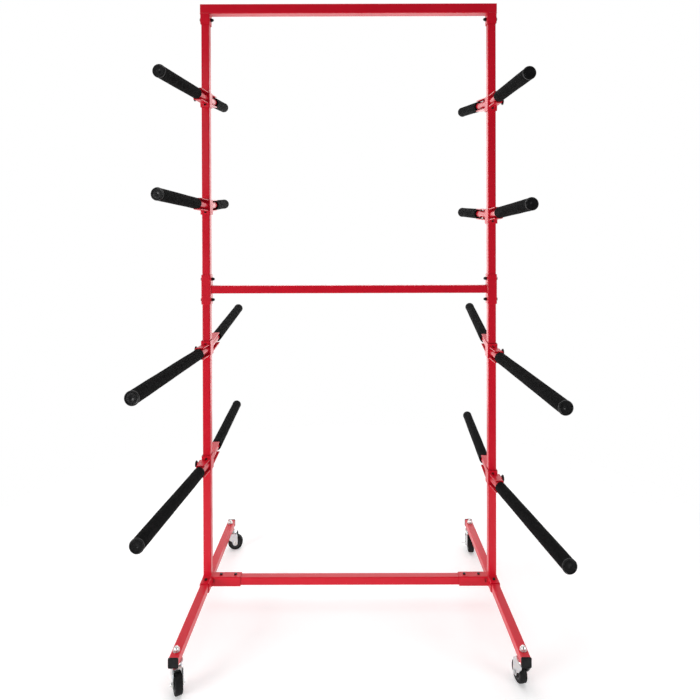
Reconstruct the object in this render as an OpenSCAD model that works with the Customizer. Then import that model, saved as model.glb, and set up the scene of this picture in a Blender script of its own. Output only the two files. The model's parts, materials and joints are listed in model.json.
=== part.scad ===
// Mobile double-sided storage rack: a square-tube frame on four swivel casters, with eight
// height-adjustable brackets that each carry a front and a rear foam-padded arm.
// Millimetres, +Z up, front of the rack towards -Y, origin on the floor under the middle.

/* [Frame] */
// Distance between the centre lines of the two posts
post_spacing = 910; // [700:10:1200]
// Height of the middle of the top bar above the floor
top_bar_z = 1907; // [1860:1:1990]
// Height of the middle of the cross bar above the floor
mid_bar_z = 1016; // [1010:1:1025]
// Outside width of the inner square tube: posts, cross bars and legs
tube_w = 25; // [25:0.5:25.2]
// Outside width of the outer square tube: top bar and joint sleeves
sleeve_w = 30; // [30:0.5:30.2]
// Wall thickness of the outer square tube
sleeve_wall = 2; // [1.8:0.1:2]
// Wall thickness of the inner square tube
tube_wall = 1.5; // [1.2:0.1:2]
// Half of the length of a leg
leg_half = 341; // [300:1:420]
// Height of the underside of the legs above the floor
leg_z = 72; // [72:1:80]

/* [Joint sleeves] */
// How far the top bar's stubs reach below its middle
top_sleeve_reach = 47; // [40:1:70]
// Half of the height of the sleeve in the middle of each post
mid_sleeve_half = 47; // [44:1:70]
// How far the hub sleeve for the bottom bar reaches from the post's centre line
hub_bar_reach = 106; // [104:1:140]
// Half of the length of the hub sleeve that holds the leg
hub_leg_half = 45; // [40:1:70]

/* [Brackets, from the top level down] */
// Height of the left-hand arms where they meet the post
left_heights = [1625, 1283, 826, 459]; // [300:1:1700]
// Height of the right-hand arms where they meet the post
right_heights = [1611, 1252, 816, 411]; // [300:1:1700]
// How far each left-hand bracket leans, rear arm up
left_lean = [6, 1.5, 3.5, -0.5]; // [-6:0.5:6]
// How far each right-hand bracket leans, rear arm up
right_lean = [5, 1, 5, -0.5]; // [-6:0.5:6]
// How far each left-hand bracket is turned, front arm to the right
left_turn = [-0.5, -1, -1, 0]; // [-3:0.5:3]
// How far each right-hand bracket is turned, front arm to the right
right_turn = [2.5, 3, -1, 0]; // [-3:0.5:3]
// How far the left-hand arms spread outwards
left_splay = [4.5, 5, 2, 2]; // [-1:0.5:5]
// How far the right-hand arms spread outwards
right_splay = [-1, -0.5, 4, 4]; // [-1:0.5:5]
// How far every arm rises towards its tip
arm_rise = 3.2; // [0:0.1:4]
// Reach of the arms on the two upper levels
short_arm = 345; // [250:5:420]
// Reach of the arms on the two lower levels
long_arm = 530; // [430:5:600]

/* [Arms] */
// Outside diameter of the arm's round tube
arm_d = 22; // [20:0.5:22]
// Outside diameter of the foam sleeve
foam_d = 34; // [30:1:36]
// Distance from the post's centre line to the start of the front foam sleeves
front_foam_start = 84; // [70:1:120]
// Distance from the post's centre line to the start of the rear foam sleeves
rear_foam_start = 125; // [70:1:150]

/* [Casters] */
// Diameter of a wheel
wheel_d = 54; // [48:1:54]
// Width of a wheel's tread
wheel_w = 20; // [16:1:20]
// Distance that a wheel trails behind its stem
trail = 20; // [18:0.5:22]
// Direction in which each wheel trails: front left, front right, rear left, rear right
trail_angles = [-63, 100, 5, -95]; // [-180:1:180]

/* [Hidden] */
$fn = 48;

// frame
half_gap = post_spacing / 2;
tube_corner = 3;
leg_mid_z = leg_z + tube_w / 2;
post_top_z = top_bar_z - sleeve_w / 2 - 1;
post_seam = 1;
weld = 0.6;

// frame bolts
bolt_d = 6;
bolt_hole_d = 6.8;
bolt_head_af = 10;
bolt_head_h = 4;
nut_h = 5;
cone_h = 5;

// screws on top of the hubs, held by weld nuts inside the tubes
screw_d = 5;
screw_hole_d = 5.6;
screw_af = 8;
screw_head_h = 3.5;
screw_len = 12;
weld_nut_h = 4;

// foot bolts, hanging below the hubs
foot_d = 6;
foot_hole_d = 6.8;
foot_af = 10;
foot_head_h = 4;
foot_nut_h = 3.2;
foot_bolt_len = 30;

// places of the frame fasteners
sleeve_half = sleeve_w / 2;
washer_gap = 0.05;
top_bolt_z = top_bar_z - 31;
mid_bolt_offset = 33;
hub_bolt_reaches = [42, 88];
hub_leg_bolt_y = 28;

// bracket collar
collar_x = 31;
collar_y = 36;
collar_wall = 2;
collar_corner = 3;
collar_low = -18;
collar_high = 28;
clamp_z = 20;
clamp_d = 6;
clamp_len = 6;
socket_depth = 2.5;
clamp_notch_d = 7.5;
point_gap = 0.4;
boss_len = 14;
boss_y = 34;
boss_h = 14;
boss_mid_z = -3;
side_bolt_d = 8;
side_bolt_len = 18;
knob_d = 21;
knob_h = 4.5;
knob_neck_d = 10;
knob_neck_h = 3.5;

// arm channel and tube
channel_h = 36;
channel_w = 26;
channel_t = 2.5;
channel_bend = 4.5;
channel_gap = 7;
arm_wall = 1.5;
plug_t = 4;
plug_d = foam_d + 1;
plug_rim = 2;
foam_gap = 0.3;

// casters
stem_d = 10;
stem_y = leg_half - 25;
race_d = 34;
race_h = 5;
crown_top = leg_z - race_h - 0.6;
crown_t = 4;
crown_low = crown_top - crown_t;
rivet_d = 17;
rivet_h = 2.4;
fork_gap = 24;
fork_t = 2.2;
axle_d = 6;
axle_hole_d = 6.1;
wheel_bore_d = 6.16;
hub_d = 34;
hub_len = 22;
caster_places = [[-half_gap, -stem_y], [half_gap, -stem_y], [-half_gap, stem_y], [half_gap, stem_y]];
brake_pin_x = -4;
brake_pin_z = 50;
brake_pin_d = 4;
brake_cam_r = 4;
brake_cam_offset = 1.8;
brake_cam_angle = -25;
brake_lever_len = 26;

// ---- shared shapes ----

module rounded_rectangle(w, h, r) {
    square([w, h - 2 * r], center = true);
    square([w - 2 * r, h], center = true);
    for (sx = [-1, 1], sy = [-1, 1]) translate([sx * (w / 2 - r), sy * (h / 2 - r)]) circle(r);
}

module rounded_square(w, r) {
    rounded_rectangle(w, w, r);
}

// A square tube from z = low to z = high
module square_tube(w, wall, low, high) {
    difference() {
        translate([0, 0, low]) linear_extrude(high - low) rounded_square(w, tube_corner);
        translate([0, 0, low - 1]) linear_extrude(high - low + 2)
            rounded_square(w - 2 * wall, tube_corner - wall);
    }
}

module square_tube_x(w, wall, from, to) {
    rotate([0, 90, 0]) square_tube(w, wall, from, to);
}

module square_tube_y(w, wall, from, to) {
    rotate([-90, 0, 0]) square_tube(w, wall, from, to);
}

module hole_x(d, len) {
    rotate([0, 90, 0]) cylinder(d = d, h = len, center = true);
}

module hole_z(d, len) {
    cylinder(d = d, h = len, center = true);
}

// A prism with six sides, af across its flats, standing on z = 0
module hexagon(af, h) {
    cylinder(d = af / cos(30), h = h, $fn = 6);
}

// A headed bolt whose shank hangs from z = 0 down to z = -len
module hex_bolt(d, len, af, head_h) {
    translate([0, 0, -len]) cylinder(d = d, h = len + 0.5);
    hexagon(af, head_h);
}

// A through bolt along -Z, from the outer face at z = 0
module frame_bolt(grip) {
    translate([0, 0, washer_gap]) hex_bolt(bolt_d, grip + nut_h + 0.5, bolt_head_af, bolt_head_h);
}

// The closed nut on its far end, from z = 0 down
module frame_nut() {
    translate([0, 0, -washer_gap]) mirror([0, 0, 1]) difference() {
        union() {
            hexagon(bolt_head_af, nut_h);
            translate([0, 0, nut_h - 0.6]) cylinder(d1 = 9, d2 = 4, h = cone_h + 0.6);
        }
        translate([0, 0, -1]) cylinder(d = bolt_d + 0.2, h = nut_h + 1.8);
    }
}

// A hexagonal nut from z = 0 down
module plain_nut(d, af, h) {
    translate([0, 0, -washer_gap]) mirror([0, 0, 1]) difference() {
        hexagon(af, h);
        cylinder(d = d + 0.2, h = 4 * h, center = true);
    }
}

// A headless screw with a hexagon socket, its outer end at z = 0
module set_screw(d, len) {
    difference() {
        translate([0, 0, -len]) cylinder(d = d, h = len);
        translate([0, 0, -socket_depth]) hexagon(d / 2, socket_depth + 1);
    }
}

// ---- frame ----

module top_bar() {
    color([0.72, 0.08, 0.13]) difference() {
        union() {
            translate([0, 0, top_bar_z])
                square_tube_x(sleeve_w, sleeve_wall, -half_gap - sleeve_half, half_gap + sleeve_half);
            for (s = [-1, 1]) {
                // end plates
                translate([s * (half_gap + sleeve_half - 1), 0, top_bar_z])
                    cube([2, sleeve_w - 3, sleeve_w - 3], center = true);
                // stubs that slide over the posts
                translate([s * half_gap, 0, top_bar_z]) square_tube(sleeve_w, sleeve_wall,
                    -top_sleeve_reach, -sleeve_half + weld);
            }
        }
        for (s = [-1, 1]) translate([s * half_gap, 0, top_bolt_z])
            hole_x(bolt_hole_d, sleeve_w + 10);
    }
}

module mid_bar() {
    color([0.75, 0.08, 0.14]) difference() {
        union() {
            for (s = [-1, 1]) translate([s * half_gap, 0, mid_bar_z])
                square_tube(sleeve_w, sleeve_wall, -mid_sleeve_half, mid_sleeve_half);
            translate([0, 0, mid_bar_z]) square_tube_x(tube_w, tube_wall,
                -half_gap + sleeve_half - weld, half_gap - sleeve_half + weld);
        }
        for (s = [-1, 1], t = [-1, 1])
            translate([s * half_gap, 0, mid_bar_z + t * mid_bolt_offset])
                hole_x(bolt_hole_d, sleeve_w + 10);
    }
}

// A drain slot through the front walls of a hub's side sleeve and of the bar inside it
module drain_slot(side) {
    translate([side * (half_gap - 22), -sleeve_half, leg_mid_z + 4]) cube([3, 12, 12], center = true);
}

module bottom_bar() {
    end = half_gap - sleeve_half - 1;
    color([0.82, 0.16, 0.22]) difference() {
        translate([0, 0, leg_mid_z]) square_tube_x(tube_w, tube_wall, -end, end);
        for (s = [-1, 1], reach = hub_bolt_reaches)
            translate([s * (half_gap - reach), 0, leg_mid_z + sleeve_half]) hole_z(screw_hole_d, 10);
        for (s = [-1, 1]) drain_slot(s);
    }
}

module upper_post(side) {
    color([0.80, 0.10, 0.17]) difference() {
        translate([side * half_gap, 0, 0])
            square_tube(tube_w, tube_wall, mid_bar_z + post_seam, post_top_z);
        for (z = [top_bolt_z, mid_bar_z + mid_bolt_offset]) translate([side * half_gap, 0, z])
            hole_x(bolt_hole_d, sleeve_w + 10);
    }
}

// Lower post, welded to the two crossed sleeves of its hub
module base_post(side) {
    top = leg_mid_z + sleeve_half;
    color([0.84, 0.13, 0.20]) difference() {
        union() {
            translate([side * half_gap, 0, 0])
                square_tube(tube_w, tube_wall, top - weld, mid_bar_z - post_seam);
            translate([side * half_gap, 0, leg_mid_z])
                square_tube_y(sleeve_w, sleeve_wall, -hub_leg_half, hub_leg_half);
            translate([side * half_gap, 0, leg_mid_z]) mirror([side > 0 ? 1 : 0, 0, 0])
                square_tube_x(sleeve_w, sleeve_wall, sleeve_half - weld, hub_bar_reach);
        }
        translate([side * half_gap, 0, mid_bar_z - mid_bolt_offset])
            hole_x(bolt_hole_d, sleeve_w + 10);
        for (reach = hub_bolt_reaches) translate([side * (half_gap - reach), 0, top])
            hole_z(screw_hole_d, 10);
        for (t = [-1, 1]) translate([side * half_gap, t * hub_leg_bolt_y, top])
            hole_z(screw_hole_d, 10);
        translate([side * half_gap, 0, leg_mid_z - sleeve_half]) hole_z(foot_hole_d, 8);
        drain_slot(side);
    }
}

module leg(side) {
    color([0.86, 0.20, 0.27]) difference() {
        translate([side * half_gap, 0, leg_mid_z])
            square_tube_y(tube_w, tube_wall, -leg_half, leg_half);
        for (y = [-stem_y, stem_y]) translate([side * half_gap, y, leg_mid_z])
            hole_z(stem_d + 0.4, sleeve_w + 10);
        for (y = [-hub_leg_bolt_y, hub_leg_bolt_y])
            translate([side * half_gap, y, leg_mid_z + sleeve_half]) hole_z(screw_hole_d, 10);
        translate([side * half_gap, 0, leg_z]) hole_z(foot_hole_d, 8);
    }
}

module leg_end_caps() {
    plug_w = tube_w - 2 * tube_wall - 0.4;
    color([0.06, 0.06, 0.06]) for (s = [-1, 1], t = [-1, 1])
        translate([s * half_gap, t * leg_half, leg_mid_z]) rotate([-90 * t, 0, 0]) {
            translate([0, 0, 0.05]) linear_extrude(3) rounded_square(tube_w + 2, tube_corner + 0.5);
            difference() {
                translate([0, 0, -10]) linear_extrude(10.5) rounded_square(plug_w, 1.4);
                translate([0, 0, -11]) linear_extrude(10) rounded_square(plug_w - 4, 1);
            }
        }
}

// ---- frame fasteners ----

// Puts its children at every through bolt: z = 0 is the face under the bolt's head
module at_through_bolts() {
    for (s = [-1, 1], z = [top_bolt_z, mid_bar_z + mid_bolt_offset, mid_bar_z - mid_bolt_offset])
        translate([s * (half_gap + sleeve_half), 0, z]) rotate([0, s * 90, 0]) children();
}

// Puts its children at every screw on top of a hub
module at_hub_screws() {
    top = leg_mid_z + sleeve_half;
    for (s = [-1, 1]) {
        for (reach = hub_bolt_reaches) translate([s * (half_gap - reach), 0, top]) children();
        for (t = [-1, 1]) translate([s * half_gap, t * hub_leg_bolt_y, top]) children();
    }
}

module frame_bolts() {
    color([0.08, 0.08, 0.08]) {
        at_through_bolts() frame_bolt(sleeve_w);
        at_hub_screws() translate([0, 0, washer_gap])
            hex_bolt(screw_d, screw_len, screw_af, screw_head_h);
        // foot bolts, with their heads inside the legs
        for (s = [-1, 1]) translate([s * half_gap, 0, leg_z + tube_wall + washer_gap])
            hex_bolt(foot_d, foot_bolt_len, foot_af, foot_head_h);
    }
}

module frame_nuts() {
    // underside of the inner tube's top wall, below the face under a hub screw's head
    inner_top = sleeve_half - tube_w / 2 + tube_wall;
    color([0.10, 0.10, 0.10]) {
        at_through_bolts() translate([0, 0, -sleeve_w]) frame_nut();
        at_hub_screws() translate([0, 0, -inner_top]) plain_nut(screw_d, screw_af, weld_nut_h);
        for (s = [-1, 1]) translate([s * half_gap, 0, leg_mid_z - sleeve_half])
            plain_nut(foot_d, foot_af, foot_nut_h);
    }
}

// ---- brackets ----

function height_of(side, level) = side < 0 ? left_heights[level] : right_heights[level];
function lean_of(side, level) = side < 0 ? left_lean[level] : right_lean[level];
function turn_of(side, level) = side < 0 ? left_turn[level] : right_turn[level];
function splay_of(side, level) = side < 0 ? left_splay[level] : right_splay[level];
function reach_of(level) = level < 2 ? short_arm : long_arm;
// The clamp screws sit below the arms on the two upper levels and above them on the lower ones
function flip_of(level) = level < 2 ? -1 : 1;

// Puts a bracket, drawn around its own post at the origin, on the rack
module on_post(side, level) {
    translate([side * half_gap, 0, height_of(side, level)])
        rotate([lean_of(side, level), 0, turn_of(side, level)]) children();
}

// Puts its children, drawn along +Z from the post, along both arms; +X stays the outer side.
// Inside them $foam_start is where that arm's foam begins
module along_arms(side, level) {
    for (t = [-1, 1]) {
        $foam_start = t < 0 ? front_foam_start : rear_foam_start;
        rotate([0, 0, -t * side * splay_of(side, level)]) rotate([t * (arm_rise - 90), 0, 0])
            mirror([side < 0 ? 1 : 0, 0, 0]) children();
    }
}

module collar_outside(flip) {
    low = flip > 0 ? collar_low : -collar_high;
    translate([0, 0, low]) linear_extrude(collar_high - collar_low)
        rounded_rectangle(collar_x, collar_y, collar_corner);
}

module collar_bore() {
    translate([0, 0, -60]) linear_extrude(120)
        rounded_rectangle(collar_x - 2 * collar_wall, collar_y - 2 * collar_wall, 1);
}

// A channel, open towards the middle of the rack, that cradles the arm's tube
module arm_channel() {
    inner_w = channel_w + 20;
    linear_extrude($foam_start - channel_gap) difference() {
        translate([-10, 0]) rounded_rectangle(inner_w, channel_h, channel_bend);
        translate([-10 - channel_t, 0])
            rounded_rectangle(inner_w, channel_h - 2 * channel_t, channel_bend - channel_t);
        translate([-channel_w / 2 - 50, -channel_h]) square([50, 2 * channel_h]);
    }
}

module arm_bracket(side, level) {
    flip = flip_of(level);
    tube_end = reach_of(level) - plug_t;
    color([0.85, 0.25, 0.32]) on_post(side, level) difference() {
        union() {
            collar_outside(flip);
            translate([side * (collar_x / 2 - weld), 0, flip * boss_mid_z])
                mirror([side < 0 ? 1 : 0, 0, 0]) rotate([90, 0, 90])
                linear_extrude(boss_len + weld) rounded_rectangle(boss_y, boss_h, 2.5);
            along_arms(side, level) {
                arm_channel();
                cylinder(d = arm_d, h = tube_end);
            }
        }
        collar_bore();
        along_arms(side, level)
            translate([0, 0, collar_y]) cylinder(d = arm_d - 2 * arm_wall, h = tube_end);
        translate([0, -collar_y / 2, flip * clamp_z]) rotate([90, 0, 0]) {
            cylinder(d = clamp_d + 0.2, h = 12, center = true);
            // room in the channel's flange to reach the clamp screw
            cylinder(d = clamp_notch_d, h = 16);
        }
        translate([side * (collar_x / 2 + boss_len / 2), 0, flip * boss_mid_z])
            hole_x(side_bolt_d + 0.2, boss_len + 12);
    }
}

module foam_sleeves(side, level) {
    color([0.07, 0.07, 0.07]) on_post(side, level) along_arms(side, level) difference() {
        translate([0, 0, $foam_start])
            cylinder(d = foam_d, h = reach_of(level) - plug_t - $foam_start - foam_gap);
        cylinder(d = arm_d + 2 * foam_gap, h = reach_of(level) + 1);
    }
}

module arm_plugs(side, level) {
    face = reach_of(level) - plug_t;
    color([0.12, 0.12, 0.12]) on_post(side, level) along_arms(side, level) difference() {
        union() {
            translate([0, 0, face + 0.05]) cylinder(d = plug_d, h = plug_t - 0.05);
            translate([0, 0, face - 12]) cylinder(d = arm_d - 2 * arm_wall - 0.3, h = 13);
        }
        translate([0, 0, face + plug_t - 1.2]) cylinder(d = plug_d - 2 * plug_rim - 2, h = 3);
        translate([0, 0, face - 13]) cylinder(d = arm_d - 2 * arm_wall - 4, h = 12);
    }
}

// A set screw in front and a screw with a round knob on the outer side; both stop just short of the post
module clamp_bolts(side, level) {
    flip = flip_of(level);
    lean = lean_of(side, level);
    post_face = tube_w / 2 / cos(lean) - flip * clamp_z * tan(lean);
    turn_room = tube_w / 2 * sin(abs(turn_of(side, level))) * 0.4;
    color([0.07, 0.07, 0.07]) on_post(side, level) {
        translate([0, -post_face - turn_room - point_gap - clamp_len, flip * clamp_z])
            rotate([90, 0, 0]) set_screw(clamp_d, clamp_len);
        translate([side * (tube_w / 2 + turn_room + point_gap + side_bolt_len), 0, flip * boss_mid_z])
            rotate([0, side * 90, 0]) {
                translate([0, 0, -side_bolt_len]) cylinder(d = side_bolt_d, h = side_bolt_len + 1);
                cylinder(d1 = knob_neck_d, d2 = knob_d - 2, h = knob_neck_h);
                translate([0, 0, knob_neck_h - 0.01]) cylinder(d = knob_d, h = knob_h);
            }
    }
}

// ---- casters ----

// Puts a caster, drawn with its stem on the Z axis and its wheel trailing along +X, on the rack
module on_caster(i) {
    translate([caster_places[i][0], caster_places[i][1], 0]) rotate([0, 0, trail_angles[i]])
        children();
}

module caster_stems() {
    color([0.70, 0.71, 0.72]) for (p = caster_places) translate([p[0], p[1], 0]) {
        translate([0, 0, crown_low - 0.4]) cylinder(d = stem_d, h = leg_z + tube_w + 5 - crown_low + 0.4);
        translate([0, 0, leg_z - race_h]) cylinder(d1 = race_d - 3, d2 = race_d, h = race_h - 0.05);
        translate([0, 0, crown_low - rivet_h]) cylinder(d = rivet_d, h = rivet_h - 0.3);
    }
}

module stem_nuts() {
    color([0.80, 0.81, 0.82]) for (p = caster_places)
        translate([p[0], p[1], leg_z + tube_w + 0.05]) difference() {
            union() {
                cylinder(d = 18, h = 1.4);
                hexagon(15, 6);
                translate([0, 0, 5.5]) intersection() {
                    sphere(d = 13.5);
                    cylinder(d = 20, h = 10);
                }
            }
            translate([0, 0, -1]) cylinder(d = stem_d + 0.2, h = 7.5);
        }
}

module fork_cheek_outline() {
    polygon([[-15, crown_top], [-12, crown_top - 12], [trail - 9, wheel_d / 2 - 2],
        [trail + 9, wheel_d / 2 - 2], [trail + 8, crown_top - 9], [trail + 2, crown_top]]);
    translate([trail, wheel_d / 2]) circle(9);
}

module caster_fork(i) {
    color([0.72, 0.73, 0.74]) on_caster(i) difference() {
        union() {
            for (s = [-1, 1]) translate([0, s * (fork_gap + fork_t) / 2, 0]) rotate([90, 0, 0])
                linear_extrude(fork_t, center = true) fork_cheek_outline();
            translate([-15, -fork_gap / 2 - 0.5, crown_low]) cube([trail + 17, fork_gap + 1, crown_t]);
            translate([0, 0, crown_low]) cylinder(d = race_d - 4, h = crown_t);
        }
        hole_z(stem_d + 0.16, 200);
        translate([trail, 0, wheel_d / 2]) rotate([90, 0, 0])
            cylinder(d = axle_hole_d, h = 60, center = true);
        if (i == 3) translate([brake_pin_x, 0, brake_pin_z]) rotate([90, 0, 0])
            cylinder(d = brake_pin_d + 0.16, h = 60, center = true);
    }
}

module caster_axle(i) {
    half = fork_gap / 2 + fork_t;
    color([0.62, 0.63, 0.64]) on_caster(i) translate([trail, 0, wheel_d / 2]) rotate([90, 0, 0]) {
        cylinder(d = axle_d, h = 2 * half + 6, center = true);
        for (s = [0, 1]) mirror([0, 0, s]) translate([0, 0, half + 0.05]) hexagon(10, 3.5);
    }
}

module caster_wheel(i) {
    color([0.09, 0.09, 0.09]) on_caster(i) translate([trail, 0, wheel_d / 2])
        rotate([90, 0, 0]) rotate_extrude() polygon(wheel_outline());
}

// Half of the wheel's section, from the bore out: hub, recessed web and rounded tread
function wheel_outline() = let (r = wheel_d / 2, b = wheel_bore_d / 2, h = hub_len / 2,
    w = wheel_w / 2, rim = hub_d / 2)
    [[b, -h], [b + 4, -h], [b + 4, -w + 4], [rim - 2, -w + 4], [rim, -w], [r - 3, -w],
     [r - 0.8, -w + 1.2], [r, -w + 3.6], [r, w - 3.6], [r - 0.8, w - 1.2], [r - 3, w],
     [rim, w], [rim - 2, w - 4], [b + 4, w - 4], [b + 4, h], [b, h]];

// A lever on the inner side of the rear right caster, with a tab for the foot
module brake_lever() {
    side = fork_gap / 2 + fork_t + 0.3;
    color([0.62, 0.63, 0.64]) on_caster(3) translate([brake_pin_x, -side, brake_pin_z])
        rotate([90, 0, 0]) difference() {
            union() {
                cylinder(d = 11, h = 2);
                translate([-4, -brake_lever_len, 0]) cube([8, brake_lever_len, 2]);
                translate([-6, -brake_lever_len - 2, 0]) cube([12, 2.4, 16]);
            }
            translate([0, 0, -1]) cylinder(d = brake_pin_d - 0.1, h = 4);
        }
}

// The lever's pin crosses the fork and carries the cam that presses on the tread
module brake_pin() {
    half = fork_gap / 2 + fork_t;
    color([0.66, 0.67, 0.68]) on_caster(3) translate([brake_pin_x, 0, brake_pin_z])
        rotate([90, 0, 0]) {
            translate([0, 0, -half - 1]) cylinder(d = brake_pin_d, h = 2 * half + 4);
            translate([0, 0, half + 2.35]) cylinder(d = 7, h = 1.5);
            rotate([0, 0, brake_cam_angle]) translate([brake_cam_offset, 0, -wheel_w / 2])
                cylinder(r = brake_cam_r, h = wheel_w);
        }
}

// ---- nodes ----

top_bar();
mid_bar();
bottom_bar();
upper_post(-1);  // upper_post_left
upper_post(1);  // upper_post_right
base_post(-1);  // base_post_left
base_post(1);  // base_post_right
leg(-1);  // leg_left
leg(1);  // leg_right
leg_end_caps();
frame_bolts();
frame_nuts();
caster_stems();
stem_nuts();

SIDES = [["left", -1], ["right", 1]];
for (side = SIDES, level = [0:3]) {
    tail = str(side[0], "_", level + 1);
    arm_bracket(side[1], level);
    foam_sleeves(side[1], level);
    arm_plugs(side[1], level);
    clamp_bolts(side[1], level);
}

CORNERS = ["front_left", "front_right", "rear_left", "rear_right"];
for (i = [0:3]) {
    caster_fork(i);
    caster_axle(i);
    caster_wheel(i);
}
brake_lever();
brake_pin();
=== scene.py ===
"""Looks of the mobile storage rack: red square tube, foam-padded arms, fasteners, weld beads and casters.

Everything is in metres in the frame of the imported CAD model: +Z up, the front arms towards -Y.
The places of all pieces are read from the CAD nodes and the joints. The sizes below that a mesh
can't give, such as a bolt's head height, repeat the CAD part's.
"""

import json
import math
import random

import bmesh
import bpy
import numpy as np
from mathutils import Matrix, Vector, noise


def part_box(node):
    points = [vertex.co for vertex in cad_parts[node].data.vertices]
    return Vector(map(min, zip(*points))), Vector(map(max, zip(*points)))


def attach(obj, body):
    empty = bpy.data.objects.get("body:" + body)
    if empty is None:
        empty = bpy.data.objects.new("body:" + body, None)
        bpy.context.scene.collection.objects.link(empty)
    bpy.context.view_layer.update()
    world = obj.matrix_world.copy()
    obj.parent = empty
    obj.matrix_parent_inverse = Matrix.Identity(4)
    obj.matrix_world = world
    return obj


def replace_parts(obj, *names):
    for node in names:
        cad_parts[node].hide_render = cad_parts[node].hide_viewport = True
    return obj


MM = 0.001
SIDES = ("left", "right")
LEVELS = (1, 2, 3, 4)
CORNERS = ("front_left", "front_right", "rear_left", "rear_right")

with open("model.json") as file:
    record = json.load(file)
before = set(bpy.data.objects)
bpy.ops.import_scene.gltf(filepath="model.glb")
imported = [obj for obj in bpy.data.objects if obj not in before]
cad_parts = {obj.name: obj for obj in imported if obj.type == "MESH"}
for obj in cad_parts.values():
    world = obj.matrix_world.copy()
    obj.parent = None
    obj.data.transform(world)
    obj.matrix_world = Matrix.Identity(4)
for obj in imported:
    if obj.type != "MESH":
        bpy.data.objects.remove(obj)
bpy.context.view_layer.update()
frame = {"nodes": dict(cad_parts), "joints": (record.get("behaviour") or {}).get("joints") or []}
NODES = frame["nodes"]
JOINTS = {joint["name"]: joint for joint in frame["joints"]}


# ---- materials ----

class Look:
    """A Principled material and short ways to add nodes to it."""

    def __init__(self, name, color, roughness, metallic=0.0, **sockets):
        self.material = bpy.data.materials.new(name)
        self.material.use_nodes = True
        self.tree = self.material.node_tree
        self.shader = self.tree.nodes["Principled BSDF"]
        self.shader.inputs["Base Color"].default_value = (*color, 1)
        self.shader.inputs["Roughness"].default_value = roughness
        self.shader.inputs["Metallic"].default_value = metallic
        for socket, value in sockets.items():
            self.shader.inputs[socket.replace("_", " ")].default_value = value
        self.place = self.node("ShaderNodeTexCoord").outputs["Object"]

    def node(self, kind, inputs=None, **settings):
        made = self.tree.nodes.new(kind)
        for name, value in settings.items():
            setattr(made, name, value)
        for socket, value in (inputs or {}).items():
            if isinstance(value, bpy.types.NodeSocket):
                self.tree.links.new(value, made.inputs[socket])
            else:
                made.inputs[socket].default_value = value
        return made

    def noise(self, scale, detail=2.0, roughness=0.5, distortion=0.0):
        made = self.node("ShaderNodeTexNoise", {
            "Vector": self.place, "Scale": scale, "Detail": detail,
            "Roughness": roughness, "Distortion": distortion,
        })
        return made.outputs["Fac"]

    def cells(self, scale):
        made = self.node("ShaderNodeTexVoronoi", {"Vector": self.place, "Scale": scale})
        return made.outputs["Distance"]

    def spread(self, value, low, high, to_low, to_high):
        made = self.node("ShaderNodeMapRange", {
            "Value": value, "From Min": low, "From Max": high, "To Min": to_low, "To Max": to_high,
        })
        return made.outputs["Result"]

    def mix(self, factor, first, second):
        made = self.node("ShaderNodeMix", data_type="RGBA")
        for index, value in ((0, factor), (6, first), (7, second)):
            if isinstance(value, bpy.types.NodeSocket):
                self.tree.links.new(value, made.inputs[index])
            else:
                made.inputs[index].default_value = value if index == 0 else (*value, 1)
        return made.outputs[2]

    def color(self, socket):
        self.tree.links.new(socket, self.shader.inputs["Base Color"])

    def roughness(self, socket):
        self.tree.links.new(socket, self.shader.inputs["Roughness"])

    def bump(self, *layers, edge=0.0):
        """Bump layers of (height, distance), over edges rounded by edge metres."""
        normal = None
        if edge:
            normal = self.node("ShaderNodeBevel", {"Radius": edge}, samples=4).outputs["Normal"]
        for height, distance in layers:
            made = self.node("ShaderNodeBump", {"Height": height, "Distance": distance})
            if normal is not None:
                self.tree.links.new(normal, made.inputs["Normal"])
            normal = made.outputs["Normal"]
        self.tree.links.new(normal, self.shader.inputs["Normal"])


def powder_coat(name, color, deep, dusty):
    """Gloss red powder coat: orange peel, thin and thick patches, and a little dust."""
    look = Look(name, color, 0.34, Specular_IOR_Level=0.2,
                Coat_Weight=0.2, Coat_Roughness=0.12, Coat_IOR=1.45)
    patches = look.spread(look.noise(9.0, 4.0, 0.6), 0.35, 0.68, 0.0, 1.0)
    tone = look.mix(patches, color, deep)
    dust = look.spread(look.noise(160.0, 5.0, 0.7), 0.62, 0.78, 0.0, 0.1)
    look.color(look.mix(dust, tone, dusty))
    look.roughness(look.spread(look.noise(24.0, 5.0, 0.65), 0.3, 0.7, 0.28, 0.4))
    peel = look.noise(420.0, 1.5, 0.5)
    ripple = look.noise(95.0, 2.0, 0.5)
    look.bump((ripple, 0.00004), (peel, 0.00003), edge=0.0006)
    return look.material


def black_oxide():
    """Blackened steel of bolts and nuts, slightly browned and rubbed."""
    look = Look("black_oxide", (0.028, 0.028, 0.03), 0.42, metallic=0.75)
    worn = look.spread(look.noise(700.0, 4.0, 0.7), 0.5, 0.75, 0.0, 0.55)
    look.color(look.mix(worn, (0.022, 0.022, 0.024), (0.085, 0.078, 0.072)))
    look.roughness(look.spread(look.noise(320.0, 4.0, 0.6), 0.3, 0.7, 0.3, 0.52))
    look.bump((look.noise(2600.0, 2.0, 0.6), 0.00003))
    return look.material


def zinc_plate():
    """Bright zinc plate with the faint cloudy blue and yellow of its passivation."""
    look = Look("zinc_plate", (0.66, 0.67, 0.68), 0.3, metallic=1.0)
    cloud = look.spread(look.noise(120.0, 4.0, 0.6, 0.4), 0.35, 0.65, 0.0, 1.0)
    look.color(look.mix(cloud, (0.70, 0.69, 0.65), (0.60, 0.64, 0.69)))
    look.roughness(look.spread(look.noise(260.0, 5.0, 0.7), 0.3, 0.7, 0.22, 0.4))
    look.bump((look.noise(1500.0, 3.0, 0.6), 0.00002))
    return look.material


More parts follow.
